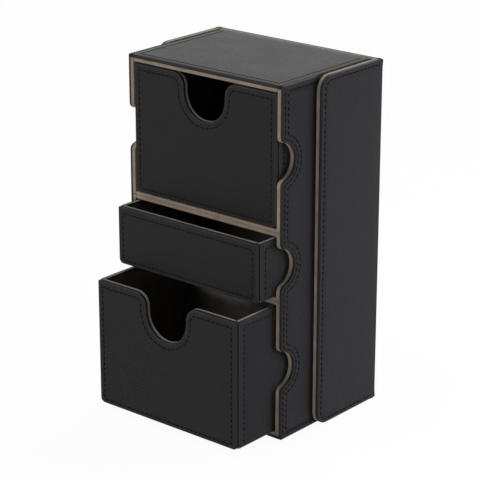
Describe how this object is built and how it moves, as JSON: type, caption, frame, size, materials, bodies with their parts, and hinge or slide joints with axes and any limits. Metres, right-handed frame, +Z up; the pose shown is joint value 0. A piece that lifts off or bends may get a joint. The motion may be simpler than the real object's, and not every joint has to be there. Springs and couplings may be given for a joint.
{
  "type": "trading card drawer box",
  "caption": "Upright leather-covered card box: two deep scooped drawers, a shallow tray between them, and a magnetic wrap cover parked on the back.",
  "frame": {"origin": "middle of the case's flat base, on the surface it stands on", "axes": "+Z up along the case's height, +X to the right seen from the front, +Y towards the back; the drawers open towards -Y"},
  "size_m": [0.1182, 0.1136, 0.2007],
  "materials": {
    "pu_leather": "black polyurethane leather with an embossed woven grain, satin, turned edges and black stitching",
    "microfibre": "taupe microfibre, matt, short nap",
    "greyboard": "grey bookbinding board, hidden under its covering",
    "magnet": "nickel-plated magnet, hidden in its board"
  },
  "bodies": {
    "case": {"case_left_board": "greyboard", "case_left_leather": "pu_leather", "case_right_board": "greyboard", "case_right_leather": "pu_leather", "case_magnets": "magnet", "case_top_board": "greyboard", "case_bottom_board": "greyboard", "case_back_board": "greyboard", "case_wrap_leather": "pu_leather", "case_bottom_leather": "pu_leather", "bottom_cell_left_wall": "microfibre", "bottom_cell_right_wall": "microfibre", "bottom_cell_floor": "microfibre", "bottom_cell_roof": "microfibre", "middle_cell_left_wall": "microfibre", "middle_cell_right_wall": "microfibre", "middle_cell_floor": "microfibre", "middle_cell_roof": "microfibre", "top_cell_left_wall": "microfibre", "top_cell_right_wall": "microfibre", "top_cell_floor": "microfibre", "top_cell_roof": "microfibre"},
    "top_drawer": {"top_drawer_front_board": "greyboard", "top_drawer_front_leather": "pu_leather", "top_drawer_floor_board": "greyboard", "top_drawer_left_board": "greyboard", "top_drawer_right_board": "greyboard", "top_drawer_back_board": "greyboard", "top_drawer_lining": "microfibre", "top_drawer_wrap_leather": "pu_leather"},
    "middle_drawer": {"middle_drawer_front_board": "greyboard", "middle_drawer_front_leather": "pu_leather", "middle_drawer_floor_board": "greyboard", "middle_drawer_left_board": "greyboard", "middle_drawer_right_board": "greyboard", "middle_drawer_back_board": "greyboard", "middle_drawer_lining": "microfibre", "middle_drawer_wrap_leather": "pu_leather"},
    "bottom_drawer": {"bottom_drawer_front_board": "greyboard", "bottom_drawer_front_leather": "pu_leather", "bottom_drawer_floor_board": "greyboard", "bottom_drawer_left_board": "greyboard", "bottom_drawer_right_board": "greyboard", "bottom_drawer_back_board": "greyboard", "bottom_drawer_lining": "microfibre", "bottom_drawer_wrap_leather": "pu_leather"},
    "cover_back": {"cover_back_board": "greyboard", "cover_back_leather": "pu_leather", "cover_back_lining": "microfibre", "cover_left_fold": "pu_leather", "cover_right_fold": "pu_leather"},
    "left_flap": {"left_flap_board": "greyboard", "left_flap_leather": "pu_leather", "left_flap_lining": "microfibre", "left_flap_magnets": "magnet"},
    "right_flap": {"right_flap_board": "greyboard", "right_flap_leather": "pu_leather", "right_flap_lining": "microfibre", "right_flap_magnets": "magnet"}
  },
  "joints": [
    {"name": "top_drawer_slide", "type": "slide", "parent": "case", "child": "top_drawer", "axis": [0, -1, 0], "range_m": [0, 0.068]},
    {"name": "middle_drawer_slide", "type": "slide", "parent": "case", "child": "middle_drawer", "axis": [0, -1, 0], "range_m": [-0.015, 0.053]},
    {"name": "bottom_drawer_slide", "type": "slide", "parent": "case", "child": "bottom_drawer", "axis": [0, -1, 0], "range_m": [-0.0325, 0.0355]},
    {"name": "cover_slide", "type": "slide", "parent": "case", "child": "cover_back", "axis": [0, 1, 0], "range_m": [0, 0.06]},
    {"name": "left_flap_hinge", "type": "hinge", "parent": "cover_back", "child": "left_flap", "pos_m": [-0.0583, 0.0418, 0], "axis": [0, 0, -1], "range_deg": [0, 180]},
    {"name": "right_flap_hinge", "type": "hinge", "parent": "cover_back", "child": "right_flap", "pos_m": [0.0583, 0.0418, 0], "axis": [0, 0, 1], "range_deg": [0, 180]}
  ]
}
